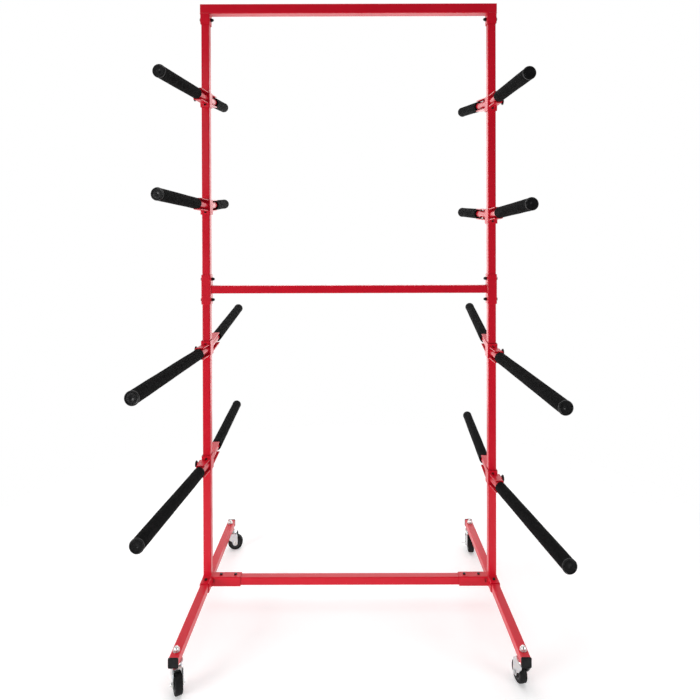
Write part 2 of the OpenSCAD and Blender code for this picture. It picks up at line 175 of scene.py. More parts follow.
def bright_nickel():
    """Polished plated nut."""
    look = Look("bright_nickel", (0.74, 0.74, 0.73), 0.3, metallic=1.0)
    look.roughness(look.spread(look.noise(500.0, 4.0, 0.6), 0.3, 0.7, 0.24, 0.36))
    look.bump((look.noise(900.0, 2.0, 0.5), 0.00001))
    return look.material


def closed_foam():
    """Matte black closed-cell foam: fine pores, faint mould streaks and a soft dusty bloom."""
    look = Look("closed_foam", (0.004, 0.004, 0.0042), 0.9, Specular_IOR_Level=0.03,
                Sheen_Weight=0.006, Sheen_Roughness=0.5)
    pores = look.cells(1150.0)
    speck = look.spread(pores, 0.05, 0.5, 0.0, 1.0)
    bloom = look.spread(look.noise(26.0, 5.0, 0.65), 0.35, 0.7, 0.0, 0.6)
    base = look.mix(speck, (0.0018, 0.0018, 0.0019), (0.0045, 0.0045, 0.0047))
    look.color(look.mix(bloom, base, (0.0065, 0.0065, 0.0067)))
    look.roughness(look.spread(look.noise(70.0, 4.0, 0.6), 0.3, 0.7, 0.72, 0.95))
    look.bump((look.noise(210.0, 4.0, 0.7), 0.0004), (pores, 0.00035))
    return look.material


def moulded_plastic(name, color, roughness, grain, scale, specular):
    """Black moulded plastic with a fine spark-eroded grain."""
    look = Look(name, color, roughness, Specular_IOR_Level=specular)
    paler = tuple(min(1.0, c * 1.5 + 0.002) for c in color)
    look.color(look.mix(look.spread(look.noise(60.0, 4.0, 0.6), 0.35, 0.7, 0.0, 1.0), color, paler))
    look.roughness(look.spread(look.noise(180.0, 4.0, 0.6), 0.3, 0.7, roughness - 0.06, roughness + 0.1))
    look.bump((look.noise(scale, 3.0, 0.6), grain))
    return look.material


def tread_rubber():
    """Black rubber tread, with dust from the floor in its grain."""
    look = Look("tread_rubber", (0.008, 0.008, 0.0085), 0.62, Specular_IOR_Level=0.15)
    dust = look.spread(look.noise(240.0, 5.0, 0.7), 0.45, 0.75, 0.0, 0.5)
    look.color(look.mix(dust, (0.006, 0.006, 0.0065), (0.022, 0.021, 0.020)))
    look.roughness(look.spread(look.noise(150.0, 4.0, 0.6), 0.3, 0.7, 0.5, 0.78))
    look.bump((look.noise(1300.0, 3.0, 0.6), 0.00012))
    return look.material


RED = powder_coat("red_powder_coat", (0.62, 0.007, 0.023), (0.58, 0.006, 0.020), (0.64, 0.05, 0.07))
RED_BRACKET = powder_coat("red_bracket_coat", (0.62, 0.009, 0.026), (0.57, 0.007, 0.021), (0.65, 0.07, 0.09))
BLACK_OXIDE = black_oxide()
ZINC = zinc_plate()
NICKEL = bright_nickel()
FOAM = closed_foam()
PLUG = moulded_plastic("plug_plastic", (0.006, 0.006, 0.0064), 0.28, 0.00003, 1400.0, 0.28)
CAP = moulded_plastic("cap_plastic", (0.005, 0.005, 0.0054), 0.46, 0.00006, 1100.0, 0.16)
HUB = moulded_plastic("hub_plastic", (0.020, 0.0205, 0.0215), 0.42, 0.00008, 900.0, 0.35)
RUBBER = tread_rubber()


def dress(names, material):
    """Gives CAD nodes a material."""
    for name in names:
        slots = NODES[name].data.materials
        slots.clear()
        slots.append(material)


# ---- meshes made of rings ----

def ring(radius, z, count):
    """Points of a circle round Z. radius may be a function of the angle."""
    points = []
    for i in range(count):
        turn = 2 * math.pi * i / count
        r = radius(turn) if callable(radius) else radius
        points.append((r * math.cos(turn), r * math.sin(turn), z(turn) if callable(z) else z))
    return points


def rounded_square_ring(width, corner, z, steps=5):
    """Points of a square with round corners."""
    points = []
    centre = width / 2 - corner
    for quarter in range(4):
        sx, sy = ((1, 1), (-1, 1), (-1, -1), (1, -1))[quarter]
        for i in range(steps):
            turn = math.pi / 2 * (quarter + i / (steps - 1))
            points.append((sx * centre + corner * math.cos(turn), sy * centre + corner * math.sin(turn), z))
    return points


def put(name, data):
    """A new object in the scene."""
    made = bpy.data.objects.new(name, data)
    bpy.context.scene.collection.objects.link(made)
    return made


def shade(mesh, sharp):
    """Soft shading, but for edges sharper than an angle."""
    mesh.polygons.foreach_set("use_smooth", [True] * len(mesh.polygons))
    mesh.set_sharp_from_angle(angle=math.radians(sharp))


class Shell:
    """Collects rings and outlines into one mesh."""

    def __init__(self):
        self.points = []
        self.faces = []

    def rings(self, rows, place=Matrix(), loop=False):
        """Joins rows of equal length; the ends are closed by flat faces, or to each other if loop."""
        start, count = len(self.points), len(rows[0])
        for row in rows:
            self.points += [place @ Vector(p) for p in row]
        pairs = [(k, k + 1) for k in range(len(rows) - 1)]
        if loop:
            pairs.append((len(rows) - 1, 0))
        for a, b in pairs:
            for i in range(count):
                j = (i + 1) % count
                self.faces.append([start + a * count + i, start + a * count + j,
                                   start + b * count + j, start + b * count + i])
        if not loop:
            last = start + (len(rows) - 1) * count
            self.faces.append([start + i for i in reversed(range(count))])
            self.faces.append([last + i for i in range(count)])
        return self

    def lathe(self, profile, place=Matrix(), count=40, loop=False):
        """Turns (radius, z) points round Z."""
        return self.rings([ring(r, z, count) for r, z in profile], place, loop)

    def prism(self, outline, low, high, place=Matrix(), inset=0.0):
        """An outline of (x, y) points from z = low to z = high, its edges eased by inset."""
        middle = Vector((sum(p[0] for p in outline), sum(p[1] for p in outline), 0)) / len(outline)

        def row(z, shrink):
            moved = []
            for x, y in outline:
                out = Vector((x, y, 0)) - middle
                moved.append(middle + out * max(0.0, 1 - shrink / max(out.length, 1e-6)) + Vector((0, 0, z)))
            return moved

        if not inset:
            return self.rings([row(low, 0), row(high, 0)], place)
        rows = [row(low, inset), row(low + inset, 0), row(high - inset, 0), row(high, inset)]
        return self.rings(rows, place)

    def mesh(self, name):
        """The shell as a mesh whose faces look outwards."""
        mesh = bpy.data.meshes.new(name)
        mesh.from_pydata([tuple(p) for p in self.points], [], self.faces)
        work = bmesh.new()
        work.from_mesh(mesh)
        bmesh.ops.recalc_face_normals(work, faces=work.faces)
        work.to_mesh(mesh)
        work.free()
        return mesh

    def make(self, name, material, body, slot, sharp=32):
        """The finished object, riding on its body, with soft shading below the angle sharp."""
        mesh = self.mesh(name)
        shade(mesh, sharp)
        mesh.materials.append(material)
        made = put(name, mesh)
        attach(made, body)
        return made


def facing(origin, direction, across=(0, 0, 1)):
    """The matrix that puts Z along direction, with X as near to across as it can be."""
    z = Vector(direction).normalized()
    x = Vector(across) - z * z.dot(Vector(across))
    if x.length < 1e-6:
        x = z.orthogonal()
    x.normalize()
    y = z.cross(x)
    rotation = Matrix((x, y, z)).transposed().to_4x4()
    return Matrix.Translation(Vector(origin)) @ rotation


def turned(origin, x_axis, y_axis):
    """The matrix with these X and Y axes."""
    x, y = Vector(x_axis).normalized(), Vector(y_axis).normalized()
    z = x.cross(y)
    return Matrix.Translation(Vector(origin)) @ Matrix((x, y, z)).transposed().to_4x4()


# ---- places read from the frame ----

def points_of(name):
    """All points of a CAD node, each once."""
    mesh = NODES[name].data
    flat = np.empty(len(mesh.vertices) * 3)
    mesh.vertices.foreach_get("co", flat)
    return np.unique(flat.reshape(-1, 3).round(6), axis=0)


def solids_of(name):
    """The points of each separate solid in a CAD node, in a fixed order."""
    work = bmesh.new()
    work.from_mesh(NODES[name].data)
    bmesh.ops.remove_doubles(work, verts=work.verts, dist=1e-6)
    left = set(work.verts)
    found = []
    while left:
        start = left.pop()
        group, edge = [start], [start]
        while edge:
            here = edge.pop()
            for link in here.link_edges:
                other = link.other_vert(here)
                if other in left:
                    left.remove(other)
                    group.append(other)
                    edge.append(other)
        found.append(np.array([v.co[:] for v in group]))
    work.free()
    return sorted(found, key=lambda p: tuple(p.mean(0).round(4)))


def middle_line(points):
    """Start and end of the middle line of a long round solid, the end with the larger |y|."""
    middle = points.mean(0)
    direction = np.linalg.svd(points - middle, full_matrices=False)[2][0]
    if direction[1] * middle[1] < 0:
        direction = -direction
    along = (points - middle) @ direction
    return Vector(middle + direction * along.min()), Vector(middle + direction * along.max())


def arms_of(side, level):
    """Middle lines of the front and the rear foam sleeve of a bracket."""
    points = points_of(f"foam_{side}_{level}")
    return middle_line(points[points[:, 1] < 0]), middle_line(points[points[:, 1] > 0])


def bracket_place(side, level):
    """The bracket's own frame: origin on the post's middle line, Y from the front to the rear arm."""
    (front_start, front_end), (rear_start, rear_end) = arms_of(side, level)
    front, rear = (front_end - front_start).normalized(), (rear_end - rear_start).normalized()
    y = (rear - front).normalized()
    x = y.cross(Vector((0, 0, 1))).normalized()
    # the arms meet where the one line comes nearest to the other
    gap = rear_start - front_start
    b = front.dot(rear)
    t = (front.dot(gap) - b * rear.dot(gap)) / (1 - b * b)
    return turned(front_start + front * t, x, y)


def end_on(points, direction):
    """The middle of the face of some points that lies furthest along an axis."""
    d = Vector(direction).normalized()
    low, high = points.min(0), points.max(0)
    middle = Vector((low + high) / 2)
    reach = max(Vector(p).dot(d) for p in points)
    return middle + d * (reach - middle.dot(d))


def bolt_axis(points):
    """Where a bolt's head ends and the direction towards its tip: the head is the wider end."""
    size = points.max(0) - points.min(0)
    k = int(size.argmax())
    others = [i for i in range(3) if i != k]
    middle = (points.max(0) + points.min(0)) / 2

    def width(level):
        near = points[abs(points[:, k] - level) < 0.0005]
        return np.linalg.norm((near - middle)[:, others], axis=1).max()

    low, high = points[:, k].min(), points[:, k].max()
    sign = 1 if width(low) > width(high) else -1
    direction = Vector([0.0, 0.0, 0.0])
    direction[k] = sign
    head = Vector(middle)
    head[k] = low if sign > 0 else high
    return head, direction, high - low


# ---- fasteners ----

HEX = math.pi / 3


def hex_radius(across_flats):
    """Radius of a hexagon as a function of the angle."""
    def radius(turn):
        return across_flats / 2 / math.cos((turn + HEX / 2) % HEX - HEX / 2)
    return radius


def add_hex(shell, place, across_flats, height):
    """A hexagon from z = 0 up, with a washer face below and a turned chamfer on top."""
    radius = hex_radius(across_flats)
    flat = across_flats / 2
    slope = math.tan(math.radians(30))
    skirt = 0.3 * MM

    def shoulder(turn):
        return height - (radius(turn) - flat * 0.95) * slope

    rows = [ring(flat * 0.96, 0.0, 48), ring(flat * 0.96, skirt, 48), ring(radius, skirt, 48),
            ring(radius, shoulder, 48), ring(flat * 0.95, height, 48), ring(flat * 0.6, height, 48),
            ring(flat * 0.55, height - 0.2 * MM, 48)]
    shell.rings(rows, place)


def add_thread(shell, place, diameter, length, pitch=1 * MM):
    """A threaded shank from z = 0 down, its end chamfered."""
    depth = 0.6 * pitch
    steps = max(4, int(length / pitch * 4))

    def row(k):
        z = -length * k / steps

        def radius(turn):
            phase = (z / pitch - turn / (2 * math.pi)) % 1.0
            cut = depth * abs(2 * phase - 1)
            ease = min(1.0, (length + z) / (1 * MM))
            return diameter / 2 - cut * ease - (1 - ease) * 0.7 * MM
        return ring(radius, z, 18)

    shell.rings([row(k) for k in range(steps + 1)], place)


def add_bolt(shell, head_end, direction, length, diameter, across_flats, head_height):
    """A hex bolt from the outer end of its head towards its tip."""
    under = head_end + direction * head_height
    place = facing(under, -direction)
    add_hex(shell, place, across_flats, head_height)
    add_thread(shell, place, diameter, length - head_height)


def add_closed_nut(shell, place, across_flats, height, cone):
    """A hexagon with a domed cap, from z = 0 up."""
    add_hex(shell, place, across_flats, height)
    base = across_flats * 0.45
    dome = [(base, height - 0.4 * MM), (base, height)]
    for i in range(1, 7):
        turn = math.pi / 2 * i / 7
        dome.append((base * math.cos(turn) ** 0.8, height + cone * math.sin(turn)))
    shell.lathe(dome, place, 36)


# diameter, across flats and head height of the three kinds of frame bolt
THROUGH_BOLT = (6 * MM, 10 * MM, 4 * MM)
HUB_SCREW = (5 * MM, 8 * MM, 3.5 * MM)
FOOT_BOLT = (6 * MM, 10 * MM, 4 * MM)
NUT_H, NUT_CONE = 5 * MM, 5 * MM
WELD_NUT_H, FOOT_NUT_H = 4 * MM, 3.2 * MM
# heights that tell the kinds of upright bolt apart, and the kinds of nut
SCREW_BELOW, CLOSED_ABOVE, WELD_ABOVE = 25 * MM, 8 * MM, 3.6 * MM


def make_frame_bolts():
    """Through bolts lie along X; hub screws and foot bolts stand, and the foot bolts are longer."""
    shell = Shell()
    for points in solids_of("frame_bolts"):
        size = np.ptp(points, axis=0)
        if size[0] > size[2]:
            kind = THROUGH_BOLT
        else:
            kind = HUB_SCREW if size[2] < SCREW_BELOW else FOOT_BOLT
        add_bolt(shell, *bolt_axis(points), *kind)
    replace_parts(shell.make("frame_bolt_set", BLACK_OXIDE, "frame", "frame_bolt"), "frame_bolts")


def make_frame_nuts():
    """Closed nuts point to the middle of the rack; weld nuts and the thinner foot nuts hang down."""
    shell = Shell()
    for points in solids_of("frame_nuts"):
        height = np.ptp(points[:, 2])
        if height > CLOSED_ABOVE:
            inwards = Vector((-math.copysign(1, points[:, 0].mean()), 0, 0))
            place = facing(end_on(points, -inwards), inwards)
            add_closed_nut(shell, place, THROUGH_BOLT[1], NUT_H, NUT_CONE)
            continue
        place = facing(end_on(points, (0, 0, 1)), (0, 0, -1))
        if height > WELD_ABOVE:
            add_hex(shell, place, HUB_SCREW[1], WELD_NUT_H)
        else:
            add_hex(shell, place, FOOT_BOLT[1], FOOT_NUT_H)
    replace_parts(shell.make("frame_nut_set", BLACK_OXIDE, "frame", "frame_bolt"), "frame_nuts")


SET_SCREW_R, SET_SCREW_LEN, SOCKET_AF, SOCKET_DEPTH = 3 * MM, 6 * MM, 3 * MM, 2.5 * MM
KNOB_D, KNOB_NECK_D, KNOB_R, KNOB_H, KNOB_NECK_H = 8 * MM, 10 * MM, 10.5 * MM, 4.5 * MM, 3.5 * MM


def add_set_screw(shell, place):
    """A headless screw with a hexagon socket, from its outer end at z = 0 down."""
    ease, socket = 0.4 * MM, hex_radius(SOCKET_AF)
    shell.rings([ring(SET_SCREW_R - ease, -SET_SCREW_LEN, 48), ring(SET_SCREW_R, ease - SET_SCREW_LEN, 48),
                 ring(SET_SCREW_R, -ease, 48), ring(SET_SCREW_R - ease, 0.0, 48), ring(socket, 0.0, 48),
                 ring(socket, -SOCKET_DEPTH, 48)], place)


def add_knob(shell, outer_end, direction, length):
    """A round knob with shallow finger dents, on a threaded shank."""
    place = facing(outer_end + direction * (KNOB_H + KNOB_NECK_H), -direction)
    add_thread(shell, place, KNOB_D, length - KNOB_H - KNOB_NECK_H, pitch=1.25 * MM)

    def dented(size):
        return lambda turn: size - 0.5 * MM * (0.5 - 0.5 * math.cos(8 * turn))

    top = KNOB_NECK_H + KNOB_H
    rows = [ring(KNOB_NECK_D / 2, 0.0, 64), ring(KNOB_NECK_D / 2 + 0.4 * MM, 0.8 * MM, 64)]
    for reach, z in ((KNOB_R - 1.6 * MM, KNOB_NECK_H), (KNOB_R - 0.4 * MM, KNOB_NECK_H + 0.4 * MM),
                     (KNOB_R, KNOB_NECK_H + 1.1 * MM), (KNOB_R, top - 1.1 * MM),
                     (KNOB_R - 0.4 * MM, top - 0.4 * MM), (KNOB_R - 1.4 * MM, top)):
        rows.append(ring(dented(reach), z, 64))
    rows += [ring(KNOB_R - 4 * MM, top - 0.1 * MM, 64), ring(KNOB_R - 4.6 * MM, top - 0.6 * MM, 64)]
    shell.rings(rows, place)


def make_clamp_bolts(side, level):
    """The front set screw and the outer knob, found in the bracket's own frame."""
    place = bracket_place(side, level)
    back = place.inverted()
    shell = Shell()
    for solid in solids_of(f"clamp_bolts_{side}_{level}"):
        local = np.array([(back @ Vector(p))[:] for p in solid])
        if np.ptp(local, axis=0).max() < 2 * SET_SCREW_LEN:
            forwards = Vector((0, -1, 0))
            add_set_screw(shell, place @ facing(end_on(local, forwards), forwards))
            continue
        head, direction, length = bolt_axis(local)
        add_knob(shell, place @ head, place.to_3x3() @ direction, length)
    body = f"bracket_{side}_{level}"
    made = shell.make(f"clamp_screws_{side}_{level}", BLACK_OXIDE, body, "clamp_bolt")
    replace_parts(made, f"clamp_bolts_{side}_{level}")


WASHER_R, WASHER_H = 9 * MM, 1.4 * MM
STEM_NUT_AF, STEM_NUT_H, DOME_R, DOME_H = 15 * MM, 4.65 * MM, 6.7 * MM, 6.2 * MM


def make_stem_nuts():
    """Bright domed nuts on the caster stems, each on a thin washer."""
    shell = Shell()
    for points in solids_of("stem_nuts"):
        place = facing(end_on(points, (0, 0, -1)), (0, 0, 1), (1, 0, 0))
        shell.lathe([(WASHER_R, 0), (WASHER_R, 1.0 * MM), (8.6 * MM, WASHER_H)], place)
        seat = place @ Matrix.Translation((0, 0, 1.35 * MM))
        add_hex(shell, seat, STEM_NUT_AF, STEM_NUT_H)
        dome = [(DOME_R, 4.2 * MM), (DOME_R, STEM_NUT_H)]
        for i in range(1, 12):
            turn = math.pi / 2 * i / 12
            dome.append((DOME_R * math.cos(turn), STEM_NUT_H + DOME_H * math.sin(turn)))
        shell.lathe(dome, seat, 48)
    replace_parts(shell.make("domed_stem_nuts", NICKEL, "frame", "stem_nut"), "stem_nuts")


# ---- arms ----

FOAM_R, FOAM_BORE = 17 * MM, 11.4 * MM
FOAM_EDGE_OPEN, FOAM_EDGE_TIP = 3.2 * MM, 1.6 * MM


def foam_profile(length):
    """Outer and inner outline of a sleeve along z, with soft cut ends."""
    steps = max(12, int(length / (5 * MM)))
    outer = []
    for i in range(6):
        turn = math.pi / 2 * (1 - i / 5)
        outer.append((FOAM_R - FOAM_EDGE_OPEN * (1 - math.cos(turn)), FOAM_EDGE_OPEN * (1 - math.sin(turn))))
    for i in range(1, steps):
        outer.append((FOAM_R, FOAM_EDGE_OPEN + (length - FOAM_EDGE_OPEN - FOAM_EDGE_TIP) * i / steps))
    for i in range(5):
        turn = math.pi / 2 * i / 4
        outer.append((FOAM_R - FOAM_EDGE_TIP * (1 - math.cos(turn)),
                      length - FOAM_EDGE_TIP * (1 - math.sin(turn))))
    return outer + [(FOAM_BORE, length), (FOAM_BORE, 0.0)]


def soften(shell, place, seed, length):
    """Lets a sleeve's skin swell and sink a little, as foam pulled over a tube does."""
    back = place.inverted()
    for k, point in enumerate(shell.points):
        local = back @ point
        flat = Vector((local.x, local.y, 0))
        if flat.length < FOAM_BORE + 1 * MM:
            continue
        slow = noise.noise(Vector((local.x * 25, local.y * 25, local.z * 14 + seed * 7.3)))
        fine = noise.noise(Vector((local.x * 150, local.y * 150, local.z * 150 + seed * 3.1)))
        tuck = math.exp(-((length - local.z) / (9 * MM)) ** 2) * 0.35 * MM
        swell = slow * 0.42 * MM + fine * 0.14 * MM - tuck
        shell.points[k] = place @ (local + flat.normalized() * swell)


def make_foam(side, level):
    """The front and the rear sleeve of a bracket, padded and riding on it."""
    for end, (start, tip) in zip(("front", "rear"), arms_of(side, level)):
        length = (tip - start).length
        place = facing(start, tip - start)
        shell = Shell()
        shell.lathe(foam_profile(length), place, 56, loop=True)
        soften(shell, place, level * 4 + SIDES.index(side) * 2 + (end == "rear"), length)
        made = shell.make(f"foam_{side}_{level}_{end}", FOAM, f"bracket_{side}_{level}", "foam", sharp=60)
        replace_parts(made, f"foam_{side}_{level}")


PLUG_R, PLUG_T, SPIGOT_R, SPIGOT_LEN = 17.5 * MM, 4 * MM, 9.3 * MM, 12 * MM


def plug_profile():
    """Spigot, flange and dished face with a rolled rim; z = 0 is the plug's outer end."""
    profile = [(SPIGOT_R - 1 * MM, -PLUG_T - SPIGOT_LEN), (SPIGOT_R, -PLUG_T - SPIGOT_LEN + 1 * MM),
               (SPIGOT_R, -PLUG_T), (PLUG_R - 0.5 * MM, -PLUG_T), (PLUG_R, -PLUG_T + 0.5 * MM)]
    rim = 1.5 * MM
    for i in range(7):
        turn = math.pi * i / 6
        profile.append((PLUG_R - rim + rim * math.cos(turn), -rim + rim * math.sin(turn)))
    profile += [(PLUG_R - 2 * rim - 0.1 * MM, -1.5 * MM), (PLUG_R - 4.2 * MM, -1.7 * MM),
                (PLUG_R - 4.8 * MM, -1.25 * MM), (8 * MM, -1.15 * MM), (3 * MM, -1.1 * MM),
                (2.4 * MM, -1.35 * MM), (0.6 * MM, -1.4 * MM)]
    return profile


def make_plugs(side, level):
    """The plugs in the ends of a bracket's two arms, each square to its own arm."""
    shell = Shell()
    for solid in solids_of(f"arm_plugs_{side}_{level}"):
        which = arms_of(side, level)[0 if solid[:, 1].mean() < 0 else 1]
        direction = (which[1] - which[0]).normalized()
        reach = max((Vector(p) - which[0]).dot(direction) for p in solid)
        shell.lathe(plug_profile(), facing(which[0] + direction * reach, direction), 56)
    made = shell.make(f"end_plugs_{side}_{level}", PLUG, f"bracket_{side}_{level}", "arm_plug")
    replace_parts(made, f"arm_plugs_{side}_{level}")


# ---- weld beads ----

BEAD_STEP, BEAD_PITCH, BEAD_TAPER = 0.75 * MM, 2.2 * MM, 1.6 * MM


def add_bead(shell, path, radius, seed, closed=False):
    """A weld bead with its ripples along a path of points."""
    spots, lengths = [Vector(p) for p in path], []
    if closed:
        spots.append(spots[0])
    for a, b in zip(spots, spots[1:]):
        lengths.append((b - a).length)
    total = sum(lengths)
    count = max(4, int(total / BEAD_STEP))
    dice = random.Random(seed)
    wobble = [dice.uniform(0.9, 1.1) for _ in range(int(total / BEAD_PITCH) + 2)]
    rows = []
    for k in range(count + (0 if closed else 1)):
        s = total * k / count
        walked, i = 0.0, 0
        while i < len(lengths) - 1 and walked + lengths[i] < s:
            walked += lengths[i]
            i += 1
        along = (spots[i + 1] - spots[i]).normalized()
        centre = spots[i] + along * (s - walked)
        ripple = 0.86 + 0.2 * abs(math.sin(math.pi * s / BEAD_PITCH))
        end = 1.0 if closed else min(1.0, 0.35 + min(s, total - s) / BEAD_TAPER)
        size = radius * ripple * end * wobble[int(s / BEAD_PITCH)]
        place = facing(centre, along, along.orthogonal() if abs(along.z) > 0.9 else (0, 0, 1))
        rows.append([place @ Vector(p) for p in ring(size, 0.0, 8)])
    shell.rings(rows, loop=closed)


# a post, its leg and the leg's two swivels share one x
POST_X = JOINTS["swivel_front_right"]["pos_m"][0]
TUBE, SLEEVE, TUBE_CORNER = 25 * MM, 30 * MM, 3 * MM
HUB_Z = sum(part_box("leg_left")[i].z for i in (0, 1)) / 2
MID_Z = sum(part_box("mid_bar")[i].z for i in (0, 1)) / 2
TOP_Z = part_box("top_bar")[1].z - SLEEVE / 2


def make_frame_welds():
    """Beads where the frame's tubes are welded to their sleeves."""
    shell = Shell()
    for s in (-1, 1):
        post = Matrix.Translation((s * POST_X, 0, 0))
        inner_face = s * (POST_X - SLEEVE / 2)
        on_side = facing((inner_face, 0, HUB_Z), (1, 0, 0))
        mid_side = facing((inner_face, 0, MID_Z), (1, 0, 0))
        jobs = (
            (post @ Matrix.Translation((0, 0, HUB_Z + SLEEVE / 2)), TUBE, 2.0 * MM),
            (on_side, SLEEVE, 1.5 * MM),
            (mid_side, TUBE, 1.9 * MM),
            (post @ Matrix.Translation((0, 0, TOP_Z - SLEEVE / 2)), SLEEVE, 1.5 * MM),
        )
        # place of the joint, width of the tube there, radius of the bead
        for number, (place, width, radius) in enumerate(jobs):
            path = [place @ Vector(p) for p in rounded_square_ring(width, TUBE_CORNER, 0.0)]
            add_bead(shell, path, radius, seed=number + 10 * (s + 2), closed=True)
    shell.make("frame_welds", RED, "frame", "red_frame", sharp=70)


COLLAR_X, COLLAR_Y, CHANNEL_W, CHANNEL_H, CHANNEL_T = 31 * MM, 36 * MM, 26 * MM, 36 * MM, 2.5 * MM
CHANNEL_GAP = 7 * MM
BOSS_Y, BOSS_H, BOSS_Z = 34 * MM, 14 * MM, 3 * MM


def make_bracket_welds(side, level):
    """Beads round the boss, along the channel's joint with the collar and along the arm's tube."""
    place = bracket_place(side, level)
    out = -1 if side == "left" else 1
    flip = -1 if level < 3 else 1
    shell = Shell()
    seed = level * 10 + SIDES.index(side)
    boss_x, boss_z = out * COLLAR_X / 2, -flip * BOSS_Z
    half_y, half_z = BOSS_Y / 2 - 1 * MM, BOSS_H / 2
    for dz in (-half_z, half_z):
        ends = [(boss_x, -half_y, boss_z + dz), (boss_x, half_y, boss_z + dz)]
        add_bead(shell, [place @ Vector(p) for p in ends], 1.3 * MM, seed)
    for start, tip in arms_of(side, level):
        along = (tip - start).normalized()
        axis = facing(place.translation, along, (0, 0, 1))
        outward = place.to_3x3() @ Vector((out, 0, 0))
        y_sign = 1 if outward.dot(axis.to_3x3() @ Vector((0, 1, 0))) > 0 else -1
        wall = y_sign * (CHANNEL_W / 2 - CHANNEL_T)
        for up in (-1, 1):
            channel_end = (start - place.translation).dot(along) - CHANNEL_GAP
            line = [axis @ Vector((up * 6.2 * MM, wall - 1.2 * MM, z)) for z in
                    (channel_end - 32 * MM, channel_end - 3 * MM)]
            add_bead(shell, line, 1.5 * MM, seed + up)
            edge = [axis @ Vector((up * (CHANNEL_H / 2 - 0.2 * MM), y, COLLAR_Y / 2 + 0.5 * MM)) for y in
                    (-y_sign * (CHANNEL_W / 2 - 3 * MM), y_sign * (CHANNEL_W / 2 - 4 * MM))]
            add_bead(shell, edge, 1.2 * MM, seed + 3 * up)
    body = f"bracket_{side}_{level}"
    shell.make(f"bracket_welds_{side}_{level}", RED_BRACKET, body, "red_bracket", sharp=70)


# ---- leg ends ----

def make_end_caps():
    """Moulded square caps with a domed face and a raised border."""
    shell = Shell()
    for points in solids_of("leg_end_caps"):
        out = Vector((0, 1 if points[:, 1].mean() > 0 else -1, 0))
        face = end_on(points, out)
        place = facing(face, out, (1, 0, 0))
        width = np.ptp(points[:, 0])
        rows = []
        # each ring's inset, height and corner radius, all in millimetres
        for inset, z, corner in ((2.2, -13.0, 1.0), (2.2, -3.2, 1.0), (0.0, -3.0, 3.5), (0.0, -1.0, 3.5),
                                 (0.35, -0.35, 3.3), (0.95, 0.0, 3.0), (2.6, 0.0, 2.4), (3.3, -0.5, 2.2),
                                 (7.0, -0.25, 2.0), (11.0, -0.15, 1.0)):
            rows.append(rounded_square_ring(width - 2 * inset * MM, corner * MM, z * MM))
        shell.rings(rows, place)
    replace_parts(shell.make("square_end_caps", CAP, "frame", "end_cap"), "leg_end_caps")


# ---- casters ----

WHEEL_R, WHEEL_HALF, HUB_R, AXLE_R = 27 * MM, 10 * MM, 17 * MM, 3 * MM
FORK_IN, FORK_T, CROWN_TOP = 12 * MM, 2.2 * MM, 66.4 * MM
STEM_R, LEG_UNDER = 5 * MM, 72 * MM


def wheel_place(corner):
    """The wheel's middle with Z along its axle, and the caster's own frame with X towards the wheel."""
    swivel, roll = JOINTS[f"swivel_{corner}"], JOINTS[f"roll_{corner}"]
    stem, middle = Vector(swivel["pos_m"]), Vector(roll["pos_m"])
    trail = Vector((middle.x - stem.x, middle.y - stem.y, 0))
    caster = turned((stem.x, stem.y, 0), trail, (-trail.y, trail.x, 0))
    return facing(middle, caster.to_3x3() @ Vector((0, 1, 0)), trail), caster, trail.length


